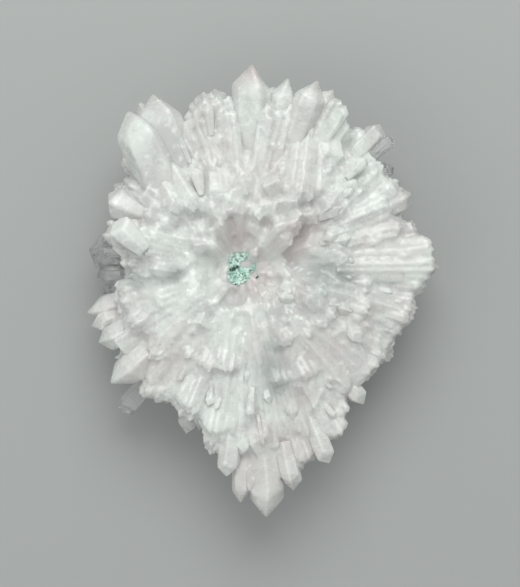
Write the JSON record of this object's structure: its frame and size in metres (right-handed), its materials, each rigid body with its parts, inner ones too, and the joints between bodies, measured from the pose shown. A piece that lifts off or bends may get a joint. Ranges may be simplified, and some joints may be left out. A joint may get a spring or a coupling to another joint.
{
  "type": "amethyst flower",
  "caption": "Pale amethyst flower: a flat rosette of quartz crystals grown outwards from one point, with a sunken middle and a small green crust.",
  "frame": {"origin": "on the resting plane, under the centre of the flower's outline seen from above", "axes": "+Z out of the flower's open face, +Y towards the long crystal opposite the longest petal, +X to the right seen from above with +Y up"},
  "size_m": [0.0892, 0.1132, 0.0326],
  "materials": {
    "milky_quartz": "milky, see-through quartz, near colourless with a faint lilac in the hollows, glossy crystal faces",
    "celadonite": "mint green, dull and crumbly, with dark green specks"
  },
  "bodies": {
    "root": {"crystal_cluster": "milky_quartz", "celadonite_crust": "celadonite"}
  },
  "joints": []
}
